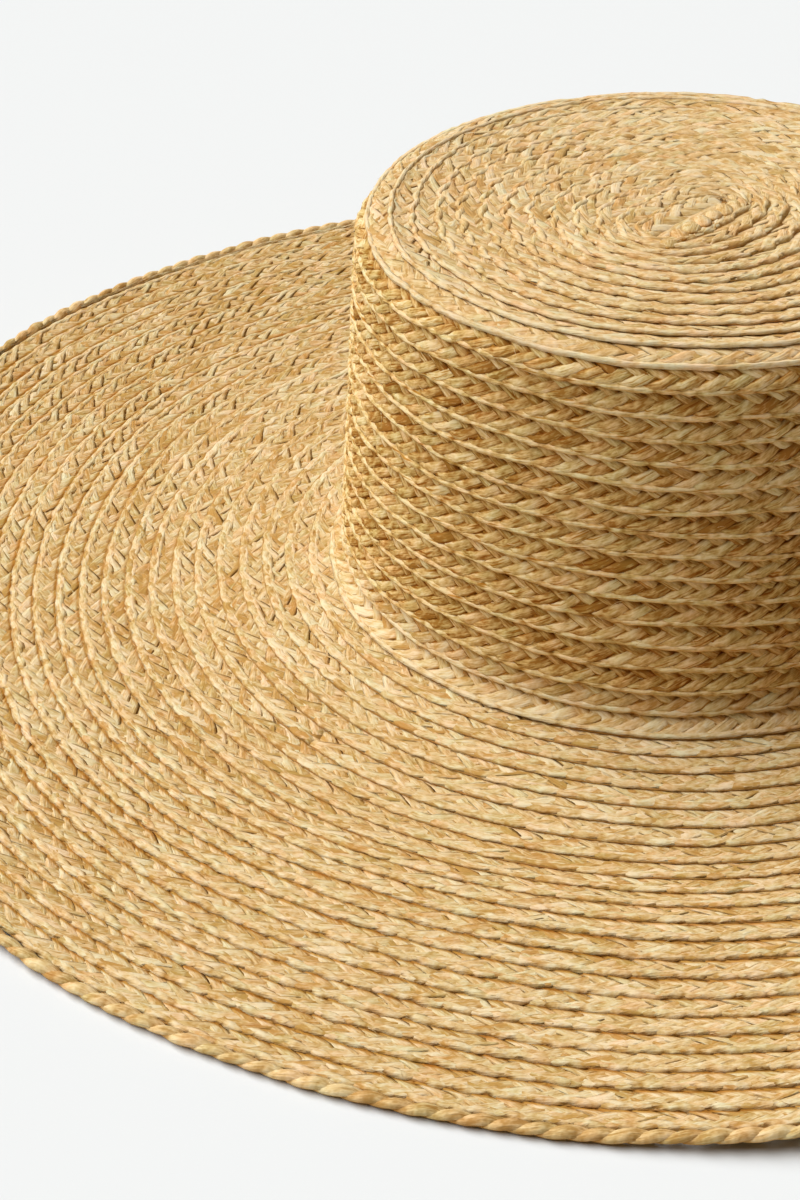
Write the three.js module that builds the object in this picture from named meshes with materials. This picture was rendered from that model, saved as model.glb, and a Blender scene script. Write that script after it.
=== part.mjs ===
// A wide-brimmed raffia sun hat with a flat crown, lying on its brim.
// Millimetres, +Z up. The origin is on the surface that the hat rests on, under the crown's middle.
// The hat is a wall of plaited braid, sewn row over row: each row's outer edge lies on the next row.

import * as THREE from 'three';

// Crown
const crownBaseRadius = 93.3;
const crownRimRadius = 88.3;
const crownHeight = 106;
const rimRounding = 9;
const baseRounding = 5;
const tipDome = 1.5;

// Brim. The lift is how high its underside is at the crown above the surface.
const brimRadius = 248;
const crownLift = 9.1;
const edgeWidth = 4.6;
const edgeRise = 0.9;

// Sewn braid
const wall = 2.5;
const rowRise = 0.7;
const tipRow = 6.6;
const sideRow = 6.75;
const brimRow = 6.5;
const seamGap = 0.3;

// Fineness of the faceted solids
const turnSides = 44;
const beadSides = 8;

// Where along the brim's width each column of the wave table lies, from the crown to the edge.
const waveShare = {
  crown: 0,
  collar: 0.14,
  inner: 0.32,
  middle: 0.5,
  outer: 0.72,
  border: 0.88,
  edge: 1,
};

// The brim's soft waves: in each direction (degrees from +X, towards +Y), the height of the
// underside above the surface as a share of crownLift. Below 0 it lies flat on the surface.
const brimWaves = [
  { direction: 0, collar: 0.86, inner: 0.62, middle: 0.5, outer: 0.35, border: 0.25, edge: 0.2 },
  { direction: 20, collar: 0.82, inner: 0.5, middle: 0.3, outer: 0.03, border: -0.1, edge: -0.14 },
  { direction: 50, collar: 0.85, inner: 0.58, middle: 0.48, outer: 0.42, border: 0.42, edge: 0.45 },
  { direction: 90, collar: 0.9, inner: 0.75, middle: 0.7, outer: 0.72, border: 0.8, edge: 0.88 },
  { direction: 120, collar: 0.92, inner: 0.8, middle: 0.74, outer: 0.74, border: 0.78, edge: 0.84 },
  { direction: 147, collar: 0.9, inner: 0.74, middle: 0.62, outer: 0.55, border: 0.6, edge: 0.72 },
  { direction: 178, collar: 0.84, inner: 0.5, middle: 0.25, outer: 0.02, border: -0.1, edge: -0.14 },
  { direction: 210, collar: 0.78, inner: 0.25, middle: 0.02, outer: 0.08, border: 0.25, edge: 0.38 },
  { direction: 225, collar: 0.66, inner: 0.12, middle: 0, outer: 0.02, border: 0.1, edge: 0.08 },
  { direction: 240, collar: 0.62, inner: 0.1, middle: 0.18, outer: 0.06, border: -0.08, edge: -0.16 },
  { direction: 255, collar: 0.64, inner: 0.12, middle: 0.3, outer: 0.04, border: -0.08, edge: -0.12 },
  { direction: 270, collar: 0.64, inner: 0.16, middle: 0.32, outer: 0.14, border: 0.2, edge: 0.24 },
  { direction: 285, collar: 0.72, inner: 0.3, middle: 0.42, outer: 0.42, border: 0.62, edge: 0.85 },
  { direction: 300, collar: 0.8, inner: 0.45, middle: 0.55, outer: 0.7, border: 0.95, edge: 1.15 },
  { direction: 330, collar: 0.86, inner: 0.6, middle: 0.55, outer: 0.6, border: 0.75, edge: 0.85 },
];

const brimWidth = brimRadius - crownBaseRadius;

// Smooth curve through the points (places, values), read at one place.
function curveAt(places, values, place) {
  const last = places.length - 1;
  let right = 1;
  while (right < last && places[right] < place) right += 1;
  const left = right - 1;
  const slope = (index) => {
    const before = Math.max(index - 1, 0);
    const after = Math.min(index + 1, last);
    return (values[after] - values[before]) / (places[after] - places[before]);
  };
  const span = places[right] - places[left];
  const t = THREE.MathUtils.clamp((place - places[left]) / span, 0, 1);
  const rise = values[right] - values[left];
  const startSlope = slope(left) * span;
  const endSlope = slope(right) * span;
  const square = 3 * rise - 2 * startSlope - endSlope;
  const cube = startSlope + endSlope - 2 * rise;
  return values[left] + t * (startSlope + t * (square + t * cube));
}

// One column of the wave table read in one direction, right round the hat.
function waveColumn(column, direction) {
  const before = brimWaves.slice(-2).map((row) => [row.direction - 360, row[column]]);
  const after = brimWaves.slice(0, 2).map((row) => [row.direction + 360, row[column]]);
  const turn = brimWaves.map((row) => [row.direction, row[column]]);
  const rows = [...before, ...turn, ...after];
  const places = rows.map((row) => row[0]);
  const values = rows.map((row) => row[1]);
  return curveAt(places, values, direction);
}

// Height of the brim's underside above the surface, at a share of its width.
function brimHeight(direction, share) {
  const columns = Object.keys(waveShare);
  const places = columns.map((column) => waveShare[column]);
  const values = columns.map((column) => (column === 'crown' ? 1 : waveColumn(column, direction)));
  return crownLift * Math.max(0, curveAt(places, values, share));
}

// The outside of the hat in section, from the middle of the tip to the edge. Each stretch has
// its length, the angle that it turns through, and the steps that the inside of the wall takes.
function sectionStretches() {
  const slant = Math.atan2(crownBaseRadius - crownRimRadius, crownHeight);
  const bend = Math.PI / 2 - slant;
  const rimTangent = rimRounding * Math.tan(bend / 2);
  const baseTangent = baseRounding * Math.tan(bend / 2);
  const side = Math.hypot(crownBaseRadius - crownRimRadius, crownHeight);
  return {
    tip: { length: crownRimRadius - rimTangent, turn: 0, steps: 4 },
    rim: { length: rimRounding * bend, turn: -bend, steps: 4 },
    side: { length: side - rimTangent - baseTangent, turn: 0, steps: 1 },
    base: { length: baseRounding * bend, turn: bend, steps: 2 },
    brim: { length: brimWidth - baseTangent - edgeWidth - seamGap, turn: 0, steps: 10 },
  };
}

const stretches = sectionStretches();
const tipEnd = stretches.tip.length + stretches.rim.length;
const sideEnd = tipEnd + stretches.side.length;
const brimEnd = sideEnd + stretches.base.length + stretches.brim.length;

// A point of the section: a distance along the outside from the tip's middle, raised outwards.
function sectionPoint(distance, raised) {
  let heading = 0;
  let radius = 0;
  let height = crownHeight;
  let left = distance;
  for (const { length, turn } of Object.values(stretches)) {
    const part = Math.min(left, length);
    const turned = (turn * part) / length;
    const chord = turn === 0 ? part : (2 * length * Math.sin(turned / 2)) / turn;
    radius += chord * Math.cos(heading + turned / 2);
    height += chord * Math.sin(heading + turned / 2);
    heading += turned;
    left -= part;
    if (left <= 0) break;
  }
  return new THREE.Vector2(radius - raised * Math.sin(heading), height + raised * Math.cos(heading));
}

// Distances along the inside of the wall between two places, finer where it turns or waves.
function insideDistances(start, end) {
  const distances = [start];
  let passed = 0;
  for (const { length, steps } of Object.values(stretches)) {
    for (let step = 1; step <= steps; step += 1) {
      const distance = passed + (length * step) / steps;
      if (distance > start + seamGap && distance < end - seamGap) distances.push(distance);
    }
    passed += length;
  }
  distances.push(end);
  return distances;
}

// Closed outline of the wall between two places: smooth inside, and outside one sloping rib
// for each row of braid, which ends raised over the start of the next row.
function sewnWall(start, end, rowWidth) {
  const inside = insideDistances(start, end).map((distance) => sectionPoint(distance, -wall));
  const rows = Math.max(1, Math.round((end - start) / rowWidth));
  const outside = [];
  for (let row = rows; row > 0; row -= 1) {
    outside.push(sectionPoint(start + ((end - start) * row) / rows, rowRise));
    outside.push(sectionPoint(start + ((end - start) * (row - 1)) / rows, 0));
  }
  const outline = [...inside, ...outside];
  if (start > 0) outline.push(inside[0].clone());
  return outline;
}

// Closed outline of the last row, which is bound round the edge like a thin rope.
function edgeBead() {
  const halfWidth = edgeWidth / 2;
  const halfDepth = (wall + edgeRise) / 2;
  const cornerReach = 1 / Math.cos(Math.PI / beadSides);
  const outline = [];
  for (let corner = 0; corner <= beadSides; corner += 1) {
    const angle = ((corner % beadSides) + 0.5) * ((2 * Math.PI) / beadSides);
    const radius = brimRadius - halfWidth + halfWidth * cornerReach * Math.cos(angle);
    const height = edgeRise - halfDepth + halfDepth * cornerReach * Math.sin(angle);
    outline.push(new THREE.Vector2(radius, height));
  }
  return outline;
}

function turned(outline) {
  return new THREE.LatheGeometry(outline, turnSides).rotateX(Math.PI / 2);
}

// Moves each point of a geometry up or down by what a function says for its radius and direction.
function lifted(geometry, lift) {
  const points = geometry.attributes.position;
  for (let index = 0; index < points.count; index += 1) {
    const x = points.getX(index);
    const y = points.getY(index);
    const direction = THREE.MathUtils.radToDeg(Math.atan2(y, x));
    points.setZ(index, points.getZ(index) + lift(Math.hypot(x, y), (direction + 360) % 360));
  }
  geometry.computeVertexNormals();
  return geometry;
}

function tipLift(radius) {
  const share = Math.min(radius / stretches.tip.length, 1);
  return tipDome * (1 - share * share) ** 2;
}

function brimLift(radius, direction) {
  const share = THREE.MathUtils.clamp((radius - crownBaseRadius) / brimWidth, 0, 1);
  return brimHeight(direction, share) - crownLift;
}

function straw(colour) {
  return new THREE.MeshStandardMaterial({ color: colour, roughness: 0.62, metalness: 0 });
}

function piece(name, geometry, material) {
  const mesh = new THREE.Mesh(geometry, material);
  mesh.name = name;
  return mesh;
}

function crown() {
  const group = new THREE.Group();
  const tip = lifted(turned(sewnWall(0, tipEnd, tipRow)), tipLift);
  const side = turned(sewnWall(tipEnd + seamGap, sideEnd, sideRow));
  group.add(piece('crown_tip', tip, straw(0xd9b87c)), piece('crown_side', side, straw(0xc9a162)));
  return group;
}

function brim() {
  const group = new THREE.Group();
  const plate = lifted(turned(sewnWall(sideEnd + seamGap, brimEnd, brimRow)), brimLift);
  const edge = lifted(turned(edgeBead()), brimLift);
  group.add(piece('brim', plate, straw(0xd8b573)), piece('brim_edge', edge, straw(0xcfa968)));
  return group;
}

const hat = new THREE.Group();
hat.add(crown(), brim());
hat.position.z = crownLift + wall;

export default hat;
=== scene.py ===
"""A wide-brimmed raffia sun hat, sewn from one long five-strand braid, lying on its brim.

Metres, +Z up. The braid is modelled strand by strand: it winds outwards from the middle of the
tip, down the side of the crown and out over the brim, each row lapped over the start of the next.
"""

import math

import bpy
import numpy as np
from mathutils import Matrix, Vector


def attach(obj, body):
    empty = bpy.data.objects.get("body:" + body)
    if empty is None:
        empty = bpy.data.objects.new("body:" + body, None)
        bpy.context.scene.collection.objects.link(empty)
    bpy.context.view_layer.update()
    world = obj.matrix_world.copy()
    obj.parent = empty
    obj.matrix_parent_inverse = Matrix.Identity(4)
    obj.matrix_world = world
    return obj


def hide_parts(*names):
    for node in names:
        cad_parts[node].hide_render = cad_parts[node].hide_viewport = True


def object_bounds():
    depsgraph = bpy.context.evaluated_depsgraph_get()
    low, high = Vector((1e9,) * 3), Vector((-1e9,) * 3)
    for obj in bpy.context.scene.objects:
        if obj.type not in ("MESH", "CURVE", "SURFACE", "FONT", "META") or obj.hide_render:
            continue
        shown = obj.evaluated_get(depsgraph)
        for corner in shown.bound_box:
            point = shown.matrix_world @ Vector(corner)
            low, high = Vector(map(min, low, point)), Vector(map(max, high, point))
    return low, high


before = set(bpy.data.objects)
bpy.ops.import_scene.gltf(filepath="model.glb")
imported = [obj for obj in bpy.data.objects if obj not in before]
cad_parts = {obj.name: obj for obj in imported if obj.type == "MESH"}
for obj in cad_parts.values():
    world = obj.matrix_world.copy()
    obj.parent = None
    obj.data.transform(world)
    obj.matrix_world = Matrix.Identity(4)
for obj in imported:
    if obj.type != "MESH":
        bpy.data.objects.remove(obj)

CAD_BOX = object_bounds()
MM = 0.001
TURN = 2 * math.pi

# The hat's section: the sizes of the solids that the braid stands for
BRIM_RADIUS = CAD_BOX[1].x
CROWN_BASE_RADIUS = 93.3 * MM
CROWN_RIM_RADIUS = 88.3 * MM
CROWN_HEIGHT = 106 * MM
RIM_ROUNDING = 9 * MM
BASE_ROUNDING = 5 * MM
TIP_DOME = 1.5 * MM
CROWN_LIFT = 9.1 * MM
WALL = 2.5 * MM
EDGE_WIDTH = 4.6 * MM
SEAM_GAP = 0.3 * MM
BRIM_WIDTH = BRIM_RADIUS - CROWN_BASE_RADIUS

# Rows of braid. The brim's first rows wind outwards evenly, the later ones in half of each turn.
# The last row tapers to its end.
TIP_ROW = 6.6 * MM
SIDE_ROW = 6.75 * MM
BRIM_ROW = 6.5 * MM
BRIM_TURN_FROM = math.radians(150)
EVEN_ROWS = 6
TAPER_TURNS = 0.5
TAPER_END = 0.03
LINE_POINTS = 60000
SIDE_PARTS = 2
BRIM_PARTS = 5

# The rows' line sways sideways: waves in a turn, distance outwards that shifts them by a radian,
# and their start
SWAY = 0.45 * MM
SWAY_FADE = 20 * MM
SWAY_WAVES = ((3, 9 * MM, 0), (7, -14 * MM, 2))

# The start of the spiral: the first rows lie round a slanting line across the tip, and their
# two halves part at it the more sharply, the higher START_SHARPNESS is
START_ANGLE = math.radians(50)
START_LEAD = 0.7
START_LENGTH = 15 * MM
START_SHARPNESS = 3
START_CENTRE = (1 * MM, -9 * MM)
START_FADE = 24 * MM
CENTRE_FADE = 40 * MM
START_MIDDLE = 1.4 * MM
START_TUCK = 0.5 * MM
TUCK_FADE = 18 * MM

# Zones of the hat. The first two are shares of the tip's flat part.
CENTRE_FROM = 0.7
PLUMP_TIP = 0.75
SIDE_BLEND = 12 * MM
OUTER_FROM = 35 * MM
OUTER_BLEND = 70 * MM

# The braid in section: its rows lean on each other and are arched
BRAID_WIDTH = 9.0 * MM
BRAID_DEPTH = 1.3 * MM
LAP_TILT = 0.17
SIDE_TILT = 0.06
FLAT_TILT = 0.03
FLAT_ARCH = 0.3 * MM
PLUMP_ARCH = 0.6 * MM

# Rings of points round the tubes
RIBBON = np.array([(1, 0), (0.5, 1), (-0.5, 1), (-1, 0), (0, -1)])
DIAMOND = np.array([(1, 0), (0, 1), (-1, 0), (0, -1)])
STRIP = np.array([(1, -1), (1, 1), (0, 1), (-1, 1), (-1, -1), (0, -1)])
ROPE_SIDES = 8

# Five flat strands zigzag over and under each other. A leaf is the stretch of a strand that shows
# between two places where it is lowest, and it is narrow and thick where it turns at the edge.
STRANDS = 5
LEAF_PITCH = 6.2 * MM
STRAND_PERIOD = STRANDS * LEAF_PITCH
RINGS_PER_PERIOD = 10
STRAND_REACH = 3.35 * MM
STRAND_SHIFT = -0.4 * MM
THIRD_WAVE = 0.05
EDGE_SHARPNESS = 6
STRAND_WIDE = 3.9 * MM
STRAND_NARROW = 2.3 * MM
STRAND_THIN = 0.8 * MM
STRAND_THICK = 1.35 * MM
CROSSING = 0.3 * MM
LEAF_CROSSINGS = (0.7, 1.4)
LEAF_WIDTHS = (0.84, 1.06)
LEAF_ROLLS = (-0.2, 0.2)
LEAF_TONE = 0.46
LEAF_CONTRAST = 0.4
LEAF_TONES = (-0.14, 0.14)
# Painted shade where a strand dives under another, and in a band on the row's inner side under the
# row lapped over it: where that band starts off the middle and how far it blends
UNDER_SHADE = 0.2
SEAM_FROM = 0.7 * MM
SEAM_BLEND = 1.5 * MM

# A thin cord along the outer selvedge, notched here and there, and like beads on the plump rows
CORD_RADIUS = 0.85 * MM
CORD_RINGS_PER_LEAF = 3
CORD_SIZES = (0.84, 1.12)
CORD_TONES = (-0.15, 0.15)
CORD_TWIST = 0.1
# Painted shade on the cord's outer side, top, inner side and underside, and in its notches and the
# gaps between its beads
CORD_FACE_SHADES = (0.5, 0.0, 0.2, 0.9)
NOTCH_SIZE = 0.62
BEAD_PITCH = 8.3 * MM
BEAD_SWELL = 0.75
BEAD_GAP = 0.55
BEAD_TONES = (-0.45, 0.05)
OUTER_BEADS = 0.6
DENT_SHADE = 0.7

# A strip under the strands that closes the gaps between them, dark all over as painted shade in
# those gaps
CORE_PITCH = 5.2 * MM
CORE_SIDE = 0.7 * MM
CORE_HALF_WIDTH = 3.3 * MM
CORE_HALF_DEPTH = 0.12 * MM
CORE_SHADE_TONE = 0.2
CORE_CREVICE_SHADE = 0.85

# Amounts that change over the hat: "all" is everywhere, and a zone adds its own (zone_shares)
REACH_BY_ZONE = {"all": 1, "centre": -0.04}
CROSSING_BY_ZONE = {"all": 0.22, "side": 1.2, "outer": 0.25, "centre": 0.25}
LEAF_WIDTH_BY_ZONE = {"all": 1.16, "side": -0.16}
LEAF_DEPTH_BY_ZONE = {"all": 0.6, "side": 0.75, "centre": 0.5, "outer": 0.1}
EDGE_DEPTH_BY_ZONE = {"all": 1, "centre": -0.35}
# Painted shade on the leaves: at their sides, where they dive under, and beside the row lapped over
# them
LEAF_SIDE_SHADE_BY_ZONE = {"all": 0.1, "side": 1.05, "outer": 0.15}
UNDER_CREVICE_SHADE_BY_ZONE = {"all": 0.15, "side": 0.95, "outer": 0.35, "centre": 0.2}
SEAM_SHADE_BY_ZONE = {"all": 0.66, "outer": 0.4}
CORD_SIZE_BY_ZONE = {"all": 1.05, "inner": -0.58, "centre": 0.27, "outer": -0.05}
CORD_SPREAD_BY_ZONE = {"all": 1.1, "inner": 2.0, "centre": 0.5, "outer": 0.8}
CORD_UP_BY_ZONE = {"all": 0.4 * MM, "inner": -0.3 * MM, "centre": -0.28 * MM, "outer": -0.22 * MM}
CORD_TONE_BY_ZONE = {"all": 0.78, "outer": -0.1, "centre": -0.1, "inner": -0.12}
ZIGZAG_BY_ZONE = {"centre": 2.2 * MM, "outer": 1.2 * MM}
NOTCH_CHANCE_BY_ZONE = {"all": 0.1, "side": 0.08}
# Notches are darker: their tone is lowered and they get painted shade
NOTCH_SHADE_BY_ZONE = {"all": 0.45, "inner": -0.25}
NOTCH_CREVICE_SHADE_BY_ZONE = {"all": 1, "inner": -0.5}

# Random wander along the braid: how far apart its values are, and how far it reaches
LEAF_WANDER = (8 * MM, 0.8 * MM)
REACH_WANDER = (9 * MM, 0.08)
TONE_WANDER = (200 * MM, 0.16)
BEAD_WANDER = (30 * MM, 0.3)
CORD_WANDER = (7 * MM, 0.3 * MM)
ROW_WANDER = (24 * MM, 0.45 * MM)
CORD_UP_WANDER = (5 * MM, 0.12 * MM)

# Frayed fibres that stand off the braid: how many there are in a metre of it, and their form
STRAY_DENSITY = {"crown_tip": 45, "crown_side": 120, "brim": 32}
FIBRE_RINGS = 4
EDGE_FIBRE_SHARE = 0.6
EDGE_FIBRE_SIDES = (3.2 * MM, 4.4 * MM)
FACE_FIBRE_SIDES = (-2 * MM, 3 * MM)
FIBRE_LENGTHS = (1.2 * MM, 4.5 * MM)
FIBRE_LEANS = (-0.9, 0.9)
FIBRE_BENDS = (-0.8, 0.8)
FIBRE_RISES = (0.1 * MM, 1.1 * MM)
FIBRE_UP = 0.7 * MM
FIBRE_CURL = 1.5
FIBRE_RADIUS = 0.09 * MM
FIBRE_TAPER = 0.7
FIBRE_TONES = (0.4, 1.1)

# Folds at the start of the spiral: pillows in a slanting line, over one long bed. The bed is
# given as its place, turn, half its length, width and depth, its slope and how high it is.
FOLDS = 7
FOLDS_CENTRE = (4.3 * MM, -11.6 * MM)
FOLDS_REACH = 15.5 * MM
FOLD_RINGS = 9
FOLD_BLUNTNESS = 0.01
FOLD_TURN = 0.7
FOLD_TURNS = (-0.25, 0.25)
FOLD_LENGTHS = (4.0 * MM, 5.0 * MM)
FOLD_WIDTHS = (2.4 * MM, 2.9 * MM)
FOLD_DEPTH = 1.1 * MM
FOLD_SLOPE = 0.1
FOLD_UP = -0.1 * MM
FOLD_SAG = 0.003 / MM
FOLD_TONES = (0.2, 0.75)
FOLD_SIDE_SHADE = 0.8
BED = (*START_CENTRE, START_ANGLE, 19 * MM, 2.8 * MM, 0.9 * MM, 0, -1.5 * MM)

# The edge: two strands twisted into a thin rope
ROPE_STRANDS = 2
ROPE_PITCH = 6.6 * MM
ROPE_RINGS = 12
ROPE_SIDE = -1.0 * MM
ROPE_UP = -0.6 * MM
ROPE_SIDE_SWING = 0.5 * MM
ROPE_UP_SWING = 0.45 * MM
ROPE_LEAN = 0.6 * MM
ROPE_HALF_WIDTH = 1.5 * MM
ROPE_HALF_DEPTH = 1.15 * MM
ROPE_SIZES = (0.8, 1.12)
ROPE_SWELL = 0.16
ROPE_TONE = 0.45
ROPE_TONES = (-0.3, 0.3)
# Painted shade on the rope's sides and underside, and where one strand passes under the other
ROPE_SIDE_SHADE = 0.5
ROPE_UNDER_SHADE = 0.9

# Each tube's fibres start this far from the ones of the tube before, in the texture's millimetres
FIBRE_SHIFT = 20

# Seeds of the random draws
STRAND_SEED = 100
CORD_SEED = 200
STRAY_SEED = 300
FOLD_SEED = 55
ROPE_SEED = 77

# Fibres in the straw: waves in a millimetre across and along a strand, and the detail
FINE_FIBRES = (2.3, 0.2, 3.0)
BROAD_FIBRES = (0.65, 0.34, 2.0)
SPLIT_FIBRES = (1.4, 0.1, 1.0)
HUE_FIBRES = (0.06, 0.11, 1.0)
FIBRE_ROUGHNESS = 0.6

# Each noise of the straw is used as its distance from a level, times a strength
STREAK = (0.5, 1.5)
PATCH = (0.5, 2.2)
RAGGED_SHADE = (0.5, 0.5)
HUE_SWING = (0.3, 2.5)

# The straw's look: where the painted shade in creases and fibre splits sets in, the tint of that
# painted shade, and what the two hues do to a colour
SHADE_RANGE = (0.55, 1.05)
SPLIT_RANGE = (0.4, 0.3)
WARM_HUE = (1.04, 0.93, 0.84, 1)
GREEN_HUE = (0.94, 1.0, 0.9, 1)
SHADE_TINT = (0.64, 0.42, 0.15, 1)
STRAW_ROUGHNESS = 0.6
STRAW_SPECULAR = 0.04
BUMP_STRENGTH = 0.9
BUMP_DEPTH = 0.35 * MM

# The brim's soft waves. Each row has a direction (degrees from +X towards +Y) and then, at each
# of WAVE_SHARES of the width from the crown to the edge, the height of the underside above the
# surface as a share of CROWN_LIFT. Below 0 it lies flat on the surface.
WAVE_SHARES = (0.14, 0.32, 0.5, 0.72, 0.88, 1.0)
BRIM_WAVES = (
    (0, 0.86, 0.62, 0.5, 0.35, 0.25, 0.2),
    (20, 0.82, 0.5, 0.3, 0.03, -0.1, -0.14),
    (50, 0.85, 0.58, 0.48, 0.42, 0.42, 0.45),
    (90, 0.9, 0.75, 0.7, 0.72, 0.8, 0.88),
    (120, 0.92, 0.8, 0.74, 0.74, 0.78, 0.84),
    (147, 0.9, 0.74, 0.62, 0.55, 0.6, 0.72),
    (178, 0.84, 0.5, 0.25, 0.02, -0.1, -0.14),
    (210, 0.78, 0.25, 0.02, 0.08, 0.25, 0.38),
    (225, 0.66, 0.12, 0, 0.02, 0.1, 0.08),
    (240, 0.62, 0.1, 0.18, 0.06, -0.08, -0.16),
    (255, 0.64, 0.12, 0.3, 0.04, -0.08, -0.12),
    (270, 0.64, 0.16, 0.32, 0.14, 0.2, 0.24),
    (285, 0.72, 0.3, 0.42, 0.42, 0.62, 0.85),
    (300, 0.8, 0.45, 0.55, 0.7, 0.95, 1.15),
    (330, 0.86, 0.6, 0.55, 0.6, 0.75, 0.85),
)
WAVE_TURN_STEPS = 720
WAVE_SHARE_STEPS = 240

# The camera that took the photo, from its outline of the hat
CAMERA_PLACE = (-76.8 * MM, -751.8 * MM, 457.0 * MM)
CAMERA_DOWN = math.radians(31.7)
CAMERA_LENS = 90.45
SENSOR_WIDTH = 36

# The studio: a wide white floor, a soft sun that shines from KEY_FROM and a weak warm sky
FLOOR_HALF = 40.0
FLOOR_COLOUR = (0.713, 0.746, 0.763, 1)
FLOOR_ROUGHNESS = 0.9
FLOOR_SPECULAR = 0.1
KEY_FROM = (-0.6, 0.13, 0.82)
KEY_SPREAD = math.radians(70)
KEY_POWER = 4.6
SKY_COLOUR = (1.0, 0.6, 0.25, 1)
SKY_STRENGTH = 0.1


def curve_at(places, values, at):
    """Smooth curves through values (one row for each place), read at each of an array of places."""
    places = np.asarray(places, float)
    last = len(places) - 1
    index = np.arange(last + 1)
    before, after = np.maximum(index - 1, 0), np.minimum(index + 1, last)
    slopes = (values[after] - values[before]) / (places[after] - places[before])[:, None]
    left = np.clip(np.searchsorted(places, at, side="left") - 1, 0, last - 1)
    span = places[left + 1] - places[left]
    t = np.clip((at - places[left]) / span, 0, 1)[:, None]
    rise = values[left + 1] - values[left]
    start, end = slopes[left] * span[:, None], slopes[left + 1] * span[:, None]
    square = 3 * rise - 2 * start - end
    cube = start + end - 2 * rise
    return values[left] + t * (start + t * (square + t * cube))


def wave_grid():
    """Heights of the brim's underside over direction (rows) and share of the width (columns)."""
    table = np.array(BRIM_WAVES, float)
    turns = np.r_[table[-2:, 0] - 360, table[:, 0], table[:2, 0] + 360]
    heights = np.r_[table[-2:, 1:], table[:, 1:], table[:2, 1:]]
    columns = curve_at(turns, heights, np.linspace(0, 360, WAVE_TURN_STEPS + 1))
    columns = np.c_[np.ones(len(columns)), columns]
    shares = np.linspace(0, 1, WAVE_SHARE_STEPS + 1)
    return CROWN_LIFT * np.maximum(curve_at((0, *WAVE_SHARES), columns.T, shares).T, 0)


WAVES = wave_grid()


def brim_height(direction, share):
    """Height of the brim's underside above the surface, for arrays of angles and shares."""
    rows, columns = WAVES.shape
    row = (direction / TURN % 1) * (rows - 1)
    column = np.clip(share, 0, 1) * (columns - 1)
    r0 = np.minimum(row.astype(int), rows - 2)
    c0 = np.minimum(column.astype(int), columns - 2)
    fr, fc = row - r0, column - c0
    low = WAVES[r0, c0] * (1 - fc) + WAVES[r0, c0 + 1] * fc
    high = WAVES[r0 + 1, c0] * (1 - fc) + WAVES[r0 + 1, c0 + 1] * fc
    return low * (1 - fr) + high * fr


def section_stretches():
    """Length and turn of each stretch of the outside in section, from the tip's middle outwards."""
    flare = CROWN_BASE_RADIUS - CROWN_RIM_RADIUS
    bend = math.pi / 2 - math.atan2(flare, CROWN_HEIGHT)
    rim_tangent = RIM_ROUNDING * math.tan(bend / 2)
    base_tangent = BASE_ROUNDING * math.tan(bend / 2)
    side = math.hypot(flare, CROWN_HEIGHT) - rim_tangent - base_tangent
    return (
        (CROWN_RIM_RADIUS - rim_tangent, 0.0),
        (RIM_ROUNDING * bend, -bend),
        (side, 0.0),
        (BASE_ROUNDING * bend, bend),
        (BRIM_WIDTH - base_tangent, 0.0),
    )


STRETCHES = section_stretches()
TIP_FLAT = STRETCHES[0][0]
TIP_END = TIP_FLAT + STRETCHES[1][0]
SIDE_END = TIP_END + STRETCHES[2][0]
EDGE_END = SIDE_END + STRETCHES[3][0] + STRETCHES[4][0]
BRIM_END = EDGE_END - EDGE_WIDTH - SEAM_GAP


def section(distance):
    """Radius, height and heading of the outside at distances from the tip's middle."""
    radius = np.zeros_like(distance)
    height = np.full_like(distance, CROWN_HEIGHT)
    heading = np.zeros_like(distance)
    left = distance.copy()
    for number, (length, turn) in enumerate(STRETCHES):
        part = np.minimum(left, length)
        if number:  # Only the first stretch runs on backwards, past the middle
            part = np.maximum(part, 0)
        turned = turn * part / length
        chord = part * np.sinc(turned / TURN)
        radius += chord * np.cos(heading + turned / 2)
        height += chord * np.sin(heading + turned / 2)
        heading = heading + turned
        left = left - part
    return radius, height, heading


def surface(distance, direction, raised):
    """Points at a distance along the section and an angle round it, raised off the outside."""
    radius, height, heading = section(distance)
    radius = radius - raised * np.sin(heading)
    height = height + raised * np.cos(heading)
    share = (radius - CROWN_BASE_RADIUS) / BRIM_WIDTH
    height += brim_height(direction, np.where(distance > SIDE_END, share, 0))
    flat = np.clip(1 - (distance / TIP_FLAT) ** 2, 0, 1)
    height += TIP_DOME * flat ** 2
    x, y = radius * np.cos(direction), radius * np.sin(direction)
    near = np.exp(-np.abs(distance) / START_FADE) * flat
    along = np.tanh(START_SHARPNESS * np.cos(direction - START_ANGLE)) * START_LENGTH * near
    shift = np.exp(-np.abs(distance) / CENTRE_FADE) * flat
    x = x + along * math.cos(START_ANGLE) + START_CENTRE[0] * shift
    y = y + along * math.sin(START_ANGLE) + START_CENTRE[1] * shift
    return np.stack([x, y, height + WALL], -1)


def eased(value):
    """0 to 1 with soft ends."""
    value = np.clip(value, 0, 1)
    return value * value * (3 - 2 * value)


def centre_share(distance):
    """1 on the inner part of the tip, where the leaves are thick, 0 from its rim outwards."""
    return 1 - eased((distance / TIP_FLAT - CENTRE_FROM) / (1 - CENTRE_FROM))


def side_share(distance):
    """1 on the side of the crown, 0 on the tip and brim."""
    return eased((distance - TIP_FLAT) / SIDE_BLEND) - eased((distance - SIDE_END) / SIDE_BLEND)


def outer_share(distance):
    """1 on the outer part of the brim, where the rows are plump, 0 elsewhere."""
    return eased((distance - SIDE_END - OUTER_FROM) / OUTER_BLEND)


def plumpness(distance):
    """How far the rows are plump rolls (1) rather than flat braid (0)."""
    return 1 - eased(distance / (PLUMP_TIP * TIP_FLAT)) + outer_share(distance)


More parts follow.
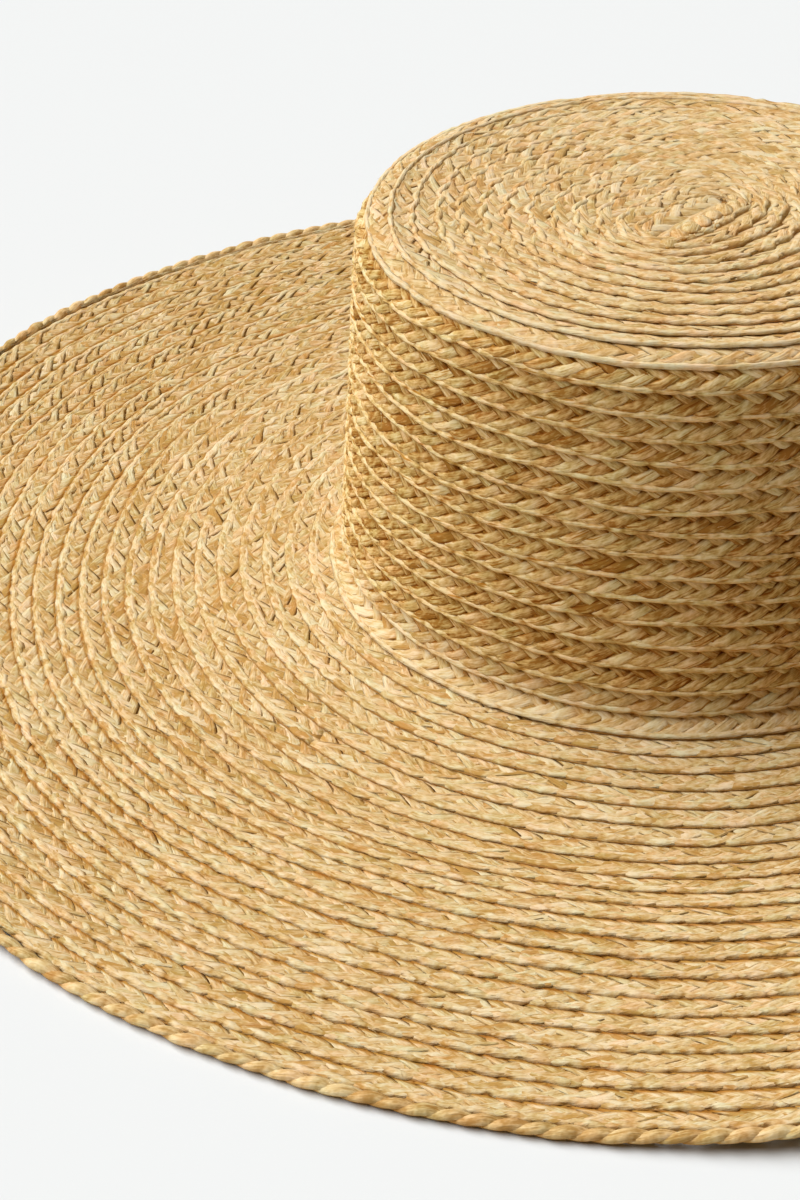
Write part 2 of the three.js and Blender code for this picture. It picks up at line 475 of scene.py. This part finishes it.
def zone_shares(distance):
    """How far places at distances from the tip's middle belong to each zone of the hat."""
    outer = outer_share(distance)
    return {
        "all": 1,
        "centre": centre_share(distance),
        "side": side_share(distance),
        "inner": eased((distance - SIDE_END) / SIDE_BLEND) - outer,
        "outer": outer,
    }


def by_zone(amounts, zones):
    """The sum of the zones' amounts, each times the share of its zone."""
    return sum(amount * zones[zone] for zone, amount in amounts.items())


def smooth_noise(rng, at, spacing, reach):
    """Random values spaced along a line, joined by a smooth curve and read at places on it."""
    place = at / spacing
    first = math.floor(place.min()) - 1
    values = rng.uniform(-reach, reach, int(place.max() - first) + 4)
    whole = np.floor(place).astype(int)
    t = eased(place - whole)
    return values[whole - first] * (1 - t) + values[whole - first + 1] * t


def corner_shade(corner, at_sides, below):
    """Painted shade at the corners of a round tube: at its two sides, and below."""
    return at_sides * np.abs(np.cos(corner)) ** 3 + below * eased(-np.sin(corner))


class Mesh:
    """Gathers tubes of quads, then makes one object of them.

    Tones say how pale a point is, partly with painted shade in them, and shade amounts how much
    painted shade its creases and crevices get. The fibres run along a tube.
    """

    def __init__(self):
        self.points, self.quads, self.tones, self.rims, self.uvs = [], [], [], [], []
        self.count = 0

    def tube(self, rings, tones, rims, across, along):
        """Adds a closed tube through rings of points; the other arrays are (rings, sides)."""
        n, sides = across.shape
        index = self.count + np.arange(n * sides).reshape(n, sides)
        following = np.roll(index, -1, 1)
        quads = np.stack([index[:-1], index[1:], following[1:], following[:-1]], -1)
        uv = np.stack([np.c_[across, across[:, :1]], np.c_[along, along[:, :1]]], -1)
        corners = np.stack([uv[:-1, :-1], uv[1:, :-1], uv[1:, 1:], uv[:-1, 1:]], 2)
        caps = []
        for ring, step in ((index[0], 1), (index[-1], -1)):
            for low in range(1, sides - 1, 2):
                face = [ring[0], *ring[low:low + 3]][::step]
                caps.append(face + face[-1:] * (4 - len(face)))
        self.quads += [quads.reshape(-1, 4), np.array(caps)]
        self.uvs += [corners.reshape(-1, 4, 2), np.zeros((len(caps), 4, 2))]
        self.points.append(rings.reshape(-1, 3))
        self.tones.append(tones.ravel())
        self.rims.append(rims.ravel())
        self.count += n * sides

    def make(self, name, material):
        """Makes the object. A quad that names its last corner twice becomes a triangle."""
        points = np.concatenate(self.points)
        quads = np.concatenate(self.quads).astype(np.int32)
        uvs = np.concatenate(self.uvs)
        keep = np.ones(quads.shape, bool)
        keep[:, 3] = quads[:, 3] != quads[:, 2]
        sizes = keep.sum(1)
        starts = np.r_[0, np.cumsum(sizes)[:-1]].astype(np.int32)
        mesh = bpy.data.meshes.new(name)
        mesh.vertices.add(len(points))
        mesh.vertices.foreach_set("co", points.astype(np.float32).ravel())
        mesh.loops.add(int(sizes.sum()))
        mesh.loops.foreach_set("vertex_index", quads[keep])
        mesh.polygons.add(len(quads))
        mesh.polygons.foreach_set("loop_start", starts)
        mesh.polygons.foreach_set("use_smooth", np.ones(len(quads), bool))
        uv = mesh.uv_layers.new(name="fibre")
        uv.data.foreach_set("uv", uvs[keep].astype(np.float32).ravel())
        # The rim layer holds the painted shade of each point; the tone layer its paleness
        for label, values in (("tone", self.tones), ("rim", self.rims)):
            layer = mesh.attributes.new(label, "FLOAT", "POINT")
            layer.data.foreach_set("value", np.concatenate(values).astype(np.float32))
        mesh.update()
        mesh.validate()
        mesh.materials.append(material)
        thing = bpy.data.objects.new(name, mesh)
        bpy.context.scene.collection.objects.link(thing)
        return thing


class Spiral:
    """The line of the sewn braid: how far out its middle is after each turn, and how long it is."""

    def __init__(self):
        start = START_MIDDLE + BRAID_WIDTH / 2
        side_rows = round((SIDE_END - TIP_END) / SIDE_ROW)
        brim_rows = round((BRIM_END - SIDE_END) / BRIM_ROW)
        self.wind = START_ANGLE - START_LEAD - start / TIP_ROW * TURN
        tip_rows = TIP_END / TIP_ROW
        shift = ((BRIM_TURN_FROM - self.wind) / TURN - tip_rows) % 1
        tip_rows += shift - round(shift)
        turns, outs = [0, tip_rows, tip_rows + side_rows], [0, TIP_END, SIDE_END]
        row = (BRIM_END - SIDE_END) / brim_rows
        # Each brim row has a place at its half turn and one at its end
        for number in range(brim_rows):
            evenness = max(0, 1 - number / EVEN_ROWS)
            turns += [turns[-1] + 0.5, turns[-1] + 1]
            outs += [SIDE_END + row * (number + evenness / 2), SIDE_END + row * (number + 1)]
        turns += [turns[-1] + 0.5, turns[-1] + 1]
        outs += [BRIM_END, BRIM_END]
        self.turn = np.linspace(start / TIP_ROW, turns[-1], LINE_POINTS)
        self.middle = np.interp(self.turn, turns, outs) - BRAID_WIDTH / 2
        places = surface(self.middle, self.turn * TURN + self.wind, np.zeros_like(self.middle))
        step = np.linalg.norm(np.diff(places, axis=0), axis=1)
        self.length = np.r_[0, np.cumsum(step)]
        self.width = np.clip((turns[-1] - self.turn) / TAPER_TURNS, TAPER_END, 1)
        self.tip_end, self.side_end = np.interp(turns[1:3], self.turn, self.length)
        self.end = self.length[-1]

    def laid(self, across, along, up):
        """Places for points of the braid: across it, along it and above its middle plane."""
        turn = np.interp(along, self.length, self.turn)
        middle = np.interp(along, self.length, self.middle)
        share = np.interp(along, self.length, self.width)
        angle = turn * TURN + self.wind
        half = BRAID_WIDTH / 2
        arch = (FLAT_ARCH + PLUMP_ARCH * plumpness(middle)) * (1 - (across / half) ** 2)
        tuck = START_TUCK * (1 - eased(along / TUCK_FADE))
        upright = side_share(middle)
        tilt = LAP_TILT + SIDE_TILT * upright - FLAT_TILT * (1 - upright)
        raised = -BRAID_DEPTH + tilt * across + arch + up - tuck
        sway = sum(np.sin(waves * angle + middle / pace + at) for waves, pace, at in SWAY_WAVES)
        side = half - (half - across) * share + SWAY * eased(middle / SWAY_FADE) * sway / 2
        return surface(middle + side, angle, raised)


def ribbon(side, along, up, lean, wide, thick, roll):
    """Rings of a flat strand round its line, turned by lean and rolled."""
    across = wide[:, None] / 2 * RIBBON[:, 0]
    x = side[:, None] + across * np.cos(lean)[:, None]
    y = along[:, None] - across * np.sin(lean)[:, None]
    z = up[:, None] + thick[:, None] / 2 * RIBBON[:, 1] + roll[:, None] * across
    return x, y, z, across


class Tubes:
    """The strands, cord and core of the whole braid, cut into pieces on demand."""

    def __init__(self, spiral):
        self.spiral = spiral
        self.parts = []
        for number in range(STRANDS):
            self.add_strand(number)
        self.add_cord()
        self.add_core()

    def zones_at(self, grid):
        """Zone shares at lengths along the braid."""
        return zone_shares(np.interp(grid, self.spiral.length, self.spiral.middle))

    def add_strand(self, number):
        rng = np.random.default_rng(STRAND_SEED + number)
        steps = int(self.spiral.end / STRAND_PERIOD * RINGS_PER_PERIOD)
        grid = (np.arange(steps) + 0.5) * STRAND_PERIOD / RINGS_PER_PERIOD
        phase = TURN * (grid / STRAND_PERIOD + number / STRANDS)
        # The lowest places are an eighth of a turn past the middle, once in each half turn
        leaf = np.floor((phase - TURN / 8) / (TURN / 2)).astype(int) + 1

        def by_leaf(low, high):
            return rng.uniform(low, high, leaf[-1] + 1)[leaf]

        zones = self.zones_at(grid)
        along = grid + smooth_noise(rng, grid, *LEAF_WANDER)
        reach = by_zone(REACH_BY_ZONE, zones) + smooth_noise(rng, grid, *REACH_WANDER)
        reach = STRAND_REACH * reach / (1 + THIRD_WAVE)
        side = STRAND_SHIFT + reach * (np.sin(phase) - THIRD_WAVE * np.sin(3 * phase))
        slope = reach * (np.cos(phase) - 3 * THIRD_WAVE * np.cos(3 * phase)) * TURN / STRAND_PERIOD
        lift = -np.sin(2 * phase)
        up = CROSSING * lift * by_leaf(*LEAF_CROSSINGS) * by_zone(CROSSING_BY_ZONE, zones)
        edge = np.abs(np.sin(phase)) ** EDGE_SHARPNESS
        wide = STRAND_WIDE * by_leaf(*LEAF_WIDTHS) * by_zone(LEAF_WIDTH_BY_ZONE, zones)
        wide = wide * (1 - edge) + STRAND_NARROW * edge
        thin = STRAND_THIN * by_zone(LEAF_DEPTH_BY_ZONE, zones)
        thick = thin + (STRAND_THICK * by_zone(EDGE_DEPTH_BY_ZONE, zones) - thin) * edge
        roll = by_leaf(*LEAF_ROLLS) * (1 - edge)
        x, y, z, across = ribbon(side, along, up, np.arctan(slope), wide, thick, roll)

        tone = LEAF_TONE + LEAF_CONTRAST * by_leaf(-1, 1) ** 3 + by_leaf(*LEAF_TONES)
        tone += smooth_noise(rng, grid, *TONE_WANDER)
        # Painted shade: a strand is darker where it dives under another, at its sides, and on the
        # row's inner side where the row before laps over it
        under = eased(-2 * lift)
        tones = np.repeat((tone - UNDER_SHADE * under)[:, None], len(RIBBON), 1)
        at_sides = by_zone(LEAF_SIDE_SHADE_BY_ZONE, zones)[:, None] * np.abs(RIBBON[:, 0]) ** 3
        below = (by_zone(UNDER_CREVICE_SHADE_BY_ZONE, zones) * under)[:, None]
        seam_shade = eased((-x - SEAM_FROM) / SEAM_BLEND) * by_zone(SEAM_SHADE_BY_ZONE, zones)[:, None]
        rims = np.maximum(np.maximum(at_sides, below), seam_shade)
        rings = self.spiral.laid(x, y, z)
        self.parts.append((grid, rings, tones, rims, across / MM + FIBRE_SHIFT * number, y / MM))

    def add_cord(self):
        rng = np.random.default_rng(CORD_SEED)
        grid = np.arange(0, self.spiral.end, LEAF_PITCH / CORD_RINGS_PER_LEAF)
        count = len(grid)
        zones = self.zones_at(grid)
        notched = rng.random(count) < by_zone(NOTCH_CHANCE_BY_ZONE, zones)
        place = grid / BEAD_PITCH + smooth_noise(rng, grid, *BEAD_WANDER)
        bead = np.floor(place).astype(int) - math.floor(place[0])
        beady = np.maximum(zones["centre"], OUTER_BEADS * zones["outer"])
        swell = 1 - BEAD_SWELL * beady * (1 - np.abs(np.sin(np.pi * place)))
        radius = CORD_RADIUS * by_zone(CORD_SIZE_BY_ZONE, zones) * swell
        radius *= np.where(notched, NOTCH_SIZE, 1)
        radius *= rng.uniform(*CORD_SIZES, count) * (1 - beady) + beady
        spread = by_zone(CORD_SPREAD_BY_ZONE, zones)
        side = BRAID_WIDTH / 2 - CORD_RADIUS * spread + smooth_noise(rng, grid, *CORD_WANDER)
        side += by_zone(ZIGZAG_BY_ZONE, zones) * (place % 1 - 0.5)
        side += smooth_noise(rng, grid, *ROW_WANDER)
        up = by_zone(CORD_UP_BY_ZONE, zones) + smooth_noise(rng, grid, *CORD_UP_WANDER)
        x = side[:, None] + (spread * radius)[:, None] * DIAMOND[:, 0]
        z = up[:, None] + radius[:, None] * DIAMOND[:, 1]
        along = np.repeat(grid[:, None], len(DIAMOND), 1)

        tone = by_zone(CORD_TONE_BY_ZONE, zones) + rng.uniform(*CORD_TONES, count)
        # Painted shade: notches are darker, and notches, gaps between beads and the cord's lower
        # faces get painted shade
        tone -= by_zone(NOTCH_SHADE_BY_ZONE, zones) * notched
        tone += beady * rng.uniform(*BEAD_TONES, bead[-1] + 1)[bead]
        tones = np.repeat(tone[:, None], len(DIAMOND), 1)
        dent_shade = np.maximum(notched * by_zone(NOTCH_CREVICE_SHADE_BY_ZONE, zones), beady * (swell < BEAD_GAP))
        rims = np.maximum(CORD_FACE_SHADES, DENT_SHADE * dent_shade[:, None])
        rings = self.spiral.laid(x, along, z)
        self.parts.append((grid, rings, tones, rims, (x + CORD_TWIST * along) / MM, along / MM))

    def add_core(self):
        grid = np.arange(0, self.spiral.end, CORE_PITCH)
        x = np.tile(CORE_SIDE + CORE_HALF_WIDTH * STRIP[:, 0], (len(grid), 1))
        z = np.tile(CORE_HALF_DEPTH * STRIP[:, 1], (len(grid), 1))
        along = np.repeat(grid[:, None], len(STRIP), 1)
        rings = self.spiral.laid(x, along, z)
        # The strip is dark all over: painted shade for the gaps it shows through
        tones, rims = np.full(x.shape, CORE_SHADE_TONE), np.full(x.shape, CORE_CREVICE_SHADE)
        self.parts.append((grid, rings, tones, rims, x / MM, along / MM))

    def cut(self, mesh, start, end):
        """Adds the stretch between two lengths; stretches that meet share a ring."""
        for grid, *rest in self.parts:
            first, last = np.searchsorted(grid, (start, end))
            mesh.tube(*(values[first:last + 1] for values in rest))


def stray_fibres(mesh, spiral, start, end, density, seed):
    """Adds the short frayed fibres that stand off the braid here and there."""
    rng = np.random.default_rng(seed)
    share = np.linspace(0, 1, FIBRE_RINGS)
    for _ in range(round(density * (end - start))):
        sides = EDGE_FIBRE_SIDES if rng.random() < EDGE_FIBRE_SHARE else FACE_FIBRE_SIDES
        side = rng.uniform(*sides)
        place = rng.uniform(start, end)
        length = rng.uniform(*FIBRE_LENGTHS)
        turn = rng.uniform(*FIBRE_LEANS) + (math.pi if rng.random() < 0.5 else 0)
        heading = turn + rng.uniform(*FIBRE_BENDS) * share
        rise = rng.uniform(*FIBRE_RISES)
        x = side + length * share * np.sin(heading)
        y = place + length * share * np.cos(heading)
        z = FIBRE_UP + rise * share ** FIBRE_CURL
        radius = FIBRE_RADIUS * (1 - FIBRE_TAPER * share)
        x = x[:, None] + radius[:, None] * DIAMOND[:, 0]
        z = z[:, None] + radius[:, None] * DIAMOND[:, 1]
        y = np.repeat(y[:, None], len(DIAMOND), 1)
        tones = np.full(x.shape, rng.uniform(*FIBRE_TONES))
        mesh.tube(spiral.laid(x, y, z), tones, np.zeros(x.shape), x / MM, y / MM)


def start_folds(mesh):
    """Adds the folds at the start of the braid: a slanting line of pillows over their bed."""
    rng = np.random.default_rng(FOLD_SEED)
    share = np.linspace(-1, 1, FOLD_RINGS)
    corner = np.arange(ROPE_SIDES) / ROPE_SIDES * TURN
    round_off = np.sqrt(1 + FOLD_BLUNTNESS - share ** 2)[:, None]
    # Painted shade on the folds' sides, undersides and ends
    rims = np.maximum(corner_shade(corner, FOLD_SIDE_SHADE, 1), 1 - round_off ** 2)
    top = CROWN_HEIGHT + CROWN_LIFT + WALL + TIP_DOME
    folds = [BED]
    for place in np.linspace(-FOLDS_REACH, FOLDS_REACH, FOLDS):
        x = FOLDS_CENTRE[0] + place * math.cos(START_ANGLE)
        y = FOLDS_CENTRE[1] + place * math.sin(START_ANGLE)
        long, wide = rng.uniform(*FOLD_LENGTHS), rng.uniform(*FOLD_WIDTHS)
        turn = START_ANGLE + FOLD_TURN + rng.uniform(*FOLD_TURNS)
        up = FOLD_UP - FOLD_SAG * place ** 2
        folds.append((x, y, turn, long, wide, FOLD_DEPTH, FOLD_SLOPE, up))
    for number, (x, y, turn, long, wide, depth, slope, up) in enumerate(folds):
        across = wide * round_off * np.cos(corner)
        along = np.repeat((long * share)[:, None], ROPE_SIDES, 1)
        x = x + across * math.sin(turn) + along * math.cos(turn)
        y = y - across * math.cos(turn) + along * math.sin(turn)
        z = top + up - slope * along + depth * round_off * np.sin(corner)
        tones = np.full(x.shape, rng.uniform(*FOLD_TONES))
        rings = np.stack([x, y, z], -1)
        mesh.tube(rings, tones, rims, across / MM + FIBRE_SHIFT * number, along / MM)


def rope_edge(mesh):
    """Adds the last row, bound round the edge like a thin rope."""
    radius = BRIM_RADIUS - EDGE_WIDTH / 2
    length = TURN * radius
    turns = round(length / (ROPE_STRANDS * ROPE_PITCH))
    count = turns * ROPE_RINGS
    along = np.arange(count + 1) / count * length
    rng = np.random.default_rng(ROPE_SEED)
    corner = np.arange(ROPE_SIDES) / ROPE_SIDES * TURN
    for strand in range(ROPE_STRANDS):
        phase = TURN * (along / length * turns + strand / ROPE_STRANDS)
        side = ROPE_SIDE + ROPE_SIDE_SWING * np.cos(phase)
        up = ROPE_UP + ROPE_UP_SWING * np.sin(phase)
        lean = -np.arctan(ROPE_LEAN * TURN * turns / length * np.sin(phase))
        knot = np.floor(phase / TURN + 0.25).astype(int) % turns
        size = rng.uniform(*ROPE_SIZES, turns)[knot] * (1 + ROPE_SWELL * np.sin(phase))
        across = (ROPE_HALF_WIDTH * size)[:, None] * np.cos(corner)
        x = side[:, None] + across * np.cos(lean)[:, None]
        y = along[:, None] - across * np.sin(lean)[:, None]
        z = up[:, None] + (ROPE_HALF_DEPTH * size)[:, None] * np.sin(corner)
        rings = surface(EDGE_END - EDGE_WIDTH / 2 + x, y / radius, z)
        tone = ROPE_TONE + rng.uniform(*ROPE_TONES, turns)[knot]
        tones = np.repeat(tone[:, None], ROPE_SIDES, 1)
        # Painted shade on the rope's sides and underside, and where one strand passes under the
        # other
        under = ROPE_UNDER_SHADE * eased(-np.sin(phase))[:, None]
        rims = np.maximum(corner_shade(corner, ROPE_SIDE_SHADE, ROPE_UNDER_SHADE), under)
        mesh.tube(rings, tones, rims, across / MM + FIBRE_SHIFT * strand, y / MM)


def straw(name, pale, mid, deep, split_shade):
    """Plaited raffia: silky strands with fine fibres along them, each of its own tone, with painted
    shade in creases and fibre splits.
    """
    material = bpy.data.materials.new(name)
    material.use_nodes = True
    nodes, links = material.node_tree.nodes, material.node_tree.links
    shader = nodes["Principled BSDF"]
    shader.inputs["Roughness"].default_value = STRAW_ROUGHNESS
    shader.inputs["Specular IOR Level"].default_value = STRAW_SPECULAR

    def feed(socket, value):
        if isinstance(value, (int, float, tuple)):
            socket.default_value = value
        else:
            links.new(value, socket)

    def math_node(operation, first, second):
        node = nodes.new("ShaderNodeMath")
        node.operation = operation
        feed(node.inputs[0], first)
        feed(node.inputs[1], second)
        return node.outputs["Value"]

    def from_level(value, level, strength):
        return math_node("MULTIPLY", math_node("SUBTRACT", value, level), strength)

    def smooth_step(value, start, end):
        node = nodes.new("ShaderNodeMapRange")
        node.interpolation_type = "SMOOTHSTEP"
        node.inputs["From Min"].default_value = start
        node.inputs["From Max"].default_value = end
        links.new(value, node.inputs["Value"])
        return node.outputs["Result"]

    def mixed(kind, factor, first, second):
        node = nodes.new("ShaderNodeMix")
        node.data_type = "RGBA"
        node.blend_type = kind
        feed(node.inputs["Factor"], factor)
        feed(node.inputs["A"], first)
        feed(node.inputs["B"], second)
        return node.outputs["Result"]

    def attribute(label):
        node = nodes.new("ShaderNodeAttribute")
        node.attribute_name = label
        return node.outputs["Fac"]

    uv = nodes.new("ShaderNodeUVMap")
    uv.uv_map = "fibre"

    def fibre_noise(across, along, detail):
        stretch = nodes.new("ShaderNodeMapping")
        stretch.inputs["Scale"].default_value = (across, along, 1.0)
        links.new(uv.outputs["UV"], stretch.inputs["Vector"])
        noise = nodes.new("ShaderNodeTexNoise")
        noise.inputs["Scale"].default_value = 1.0
        noise.inputs["Detail"].default_value = detail
        noise.inputs["Roughness"].default_value = FIBRE_ROUGHNESS
        links.new(stretch.outputs["Vector"], noise.inputs["Vector"])
        return noise.outputs["Fac"]

    fine = fibre_noise(*FINE_FIBRES)
    broad = fibre_noise(*BROAD_FIBRES)
    marks = math_node("ADD", from_level(fine, *STREAK), from_level(broad, *PATCH))
    ramp = nodes.new("ShaderNodeValToRGB")
    stops = ramp.color_ramp.elements
    stops[0].position, stops[0].color = 0.0, (*deep, 1)
    stops[1].position, stops[1].color = 1.0, (*pale, 1)
    stops.new(0.5).color = (*mid, 1)
    links.new(math_node("ADD", attribute("tone"), marks), ramp.inputs["Fac"])
    hue = from_level(fibre_noise(*HUE_FIBRES), *HUE_SWING)
    tinted = mixed("MULTIPLY", 1.0, ramp.outputs["Color"], mixed("MIX", hue, WARM_HUE, GREEN_HUE))

    # Painted shade: the rim layer, made ragged, and the fibre splits darken the colour by the shade
    # tint
    rim = math_node("ADD", attribute("rim"), from_level(broad, *RAGGED_SHADE))
    split = math_node("MULTIPLY", smooth_step(fibre_noise(*SPLIT_FIBRES), *SPLIT_RANGE), split_shade)
    shadow = math_node("MAXIMUM", smooth_step(rim, *SHADE_RANGE), split)
    dark = mixed("MULTIPLY", 1.0, tinted, SHADE_TINT)
    links.new(mixed("MIX", shadow, tinted, dark), shader.inputs["Base Color"])

    bump = nodes.new("ShaderNodeBump")
    bump.inputs["Strength"].default_value = BUMP_STRENGTH
    bump.inputs["Distance"].default_value = BUMP_DEPTH
    links.new(math_node("ADD", fine, broad), bump.inputs["Height"])
    links.new(bump.outputs["Normal"], shader.inputs["Normal"])
    return material


# Each node's straw: its pale, middle and deep colours, and how dark the painted shade in its splits
# is. The crown side's middle and deep colours are darker and warmer, and its splits darker, as
# painted shade for the side in shade
STRAWS = {
    "crown_tip": straw(
        "crown_tip_raffia", (0.75, 0.64, 0.455), (0.705, 0.53, 0.30), (0.52, 0.32, 0.12), 0.35),
    "crown_side": straw(
        "crown_side_shaded_raffia", (0.79, 0.63, 0.38), (0.61, 0.415, 0.165), (0.34, 0.16, 0.03), 1.0),
    "brim": straw(
        "brim_raffia", (0.77, 0.66, 0.465), (0.675, 0.505, 0.275), (0.49, 0.29, 0.09), 0.4),
    "brim_edge": straw(
        "edge_raffia", (0.79, 0.63, 0.39), (0.67, 0.48, 0.24), (0.46, 0.27, 0.09), 0.5),
}


def sew_hat():
    """Winds the braid from the tip to the edge, cut into pieces where the solids are."""
    spiral = Spiral()
    tubes = Tubes(spiral)
    side_cuts = np.linspace(spiral.tip_end, spiral.side_end, SIDE_PARTS + 1)
    brim_cuts = np.linspace(spiral.side_end, spiral.end, BRIM_PARTS + 1)
    cuts = [0, *side_cuts, *brim_cuts[1:]]
    pieces = [("crown_tip_braid", "crown_tip")]
    pieces += [(f"crown_side_braid_{part + 1}", "crown_side") for part in range(SIDE_PARTS)]
    pieces += [(f"brim_braid_{part + 1}", "brim") for part in range(BRIM_PARTS)]
    pieces += [("brim_edge_rope", "brim_edge")]
    for number, (name, node) in enumerate(pieces):
        mesh = Mesh()
        if node == "brim_edge":
            rope_edge(mesh)
        else:
            start, end = cuts[number:number + 2]
            tubes.cut(mesh, start, end)
            if node == "crown_tip":
                start_folds(mesh)
            stray_fibres(mesh, spiral, start, end, STRAY_DENSITY[node], STRAY_SEED + number)
        piece = mesh.make(name, STRAWS[node])
        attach(piece, "root")
        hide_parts(node)


def floor():
    """A plain pale floor, wide enough to reach the horizon in low views."""
    half = FLOOR_HALF
    corners = [(-half, -half, 0), (half, -half, 0), (half, half, 0), (-half, half, 0)]
    mesh = bpy.data.meshes.new("floor")
    mesh.from_pydata(corners, [], [(0, 1, 2, 3)])
    material = bpy.data.materials.new("floor_white")
    material.use_nodes = True
    shader = material.node_tree.nodes["Principled BSDF"]
    shader.inputs["Base Color"].default_value = FLOOR_COLOUR
    shader.inputs["Roughness"].default_value = FLOOR_ROUGHNESS
    shader.inputs["Specular IOR Level"].default_value = FLOOR_SPECULAR
    mesh.materials.append(material)
    thing = bpy.data.objects.new("floor", mesh)
    bpy.context.scene.collection.objects.link(thing)


def studio():
    """A soft key light from the upper left, a little behind, and a weak even sky."""
    world = bpy.data.worlds.new("studio")
    bpy.context.scene.world = world
    world.use_nodes = True
    background = world.node_tree.nodes["Background"]
    background.inputs["Color"].default_value = SKY_COLOUR
    background.inputs["Strength"].default_value = SKY_STRENGTH
    data = bpy.data.lights.new("key", "SUN")
    data.angle = KEY_SPREAD
    data.energy = KEY_POWER
    key = bpy.data.objects.new("key", data)
    key.rotation_euler = Vector(KEY_FROM).to_track_quat("Z", "Y").to_euler()
    bpy.context.scene.collection.objects.link(key)
    bpy.context.scene.view_settings.view_transform = "Standard"


def camera():
    """The camera at the photo's angle."""
    data = bpy.data.cameras.new("camera")
    data.sensor_width = SENSOR_WIDTH
    data.lens = CAMERA_LENS
    thing = bpy.data.objects.new("camera", data)
    thing.location = CAMERA_PLACE
    thing.rotation_euler = (math.pi / 2 - CAMERA_DOWN, 0, 0)
    bpy.context.scene.collection.objects.link(thing)
    bpy.context.scene.camera = thing


camera()
studio()
floor()
sew_hat()
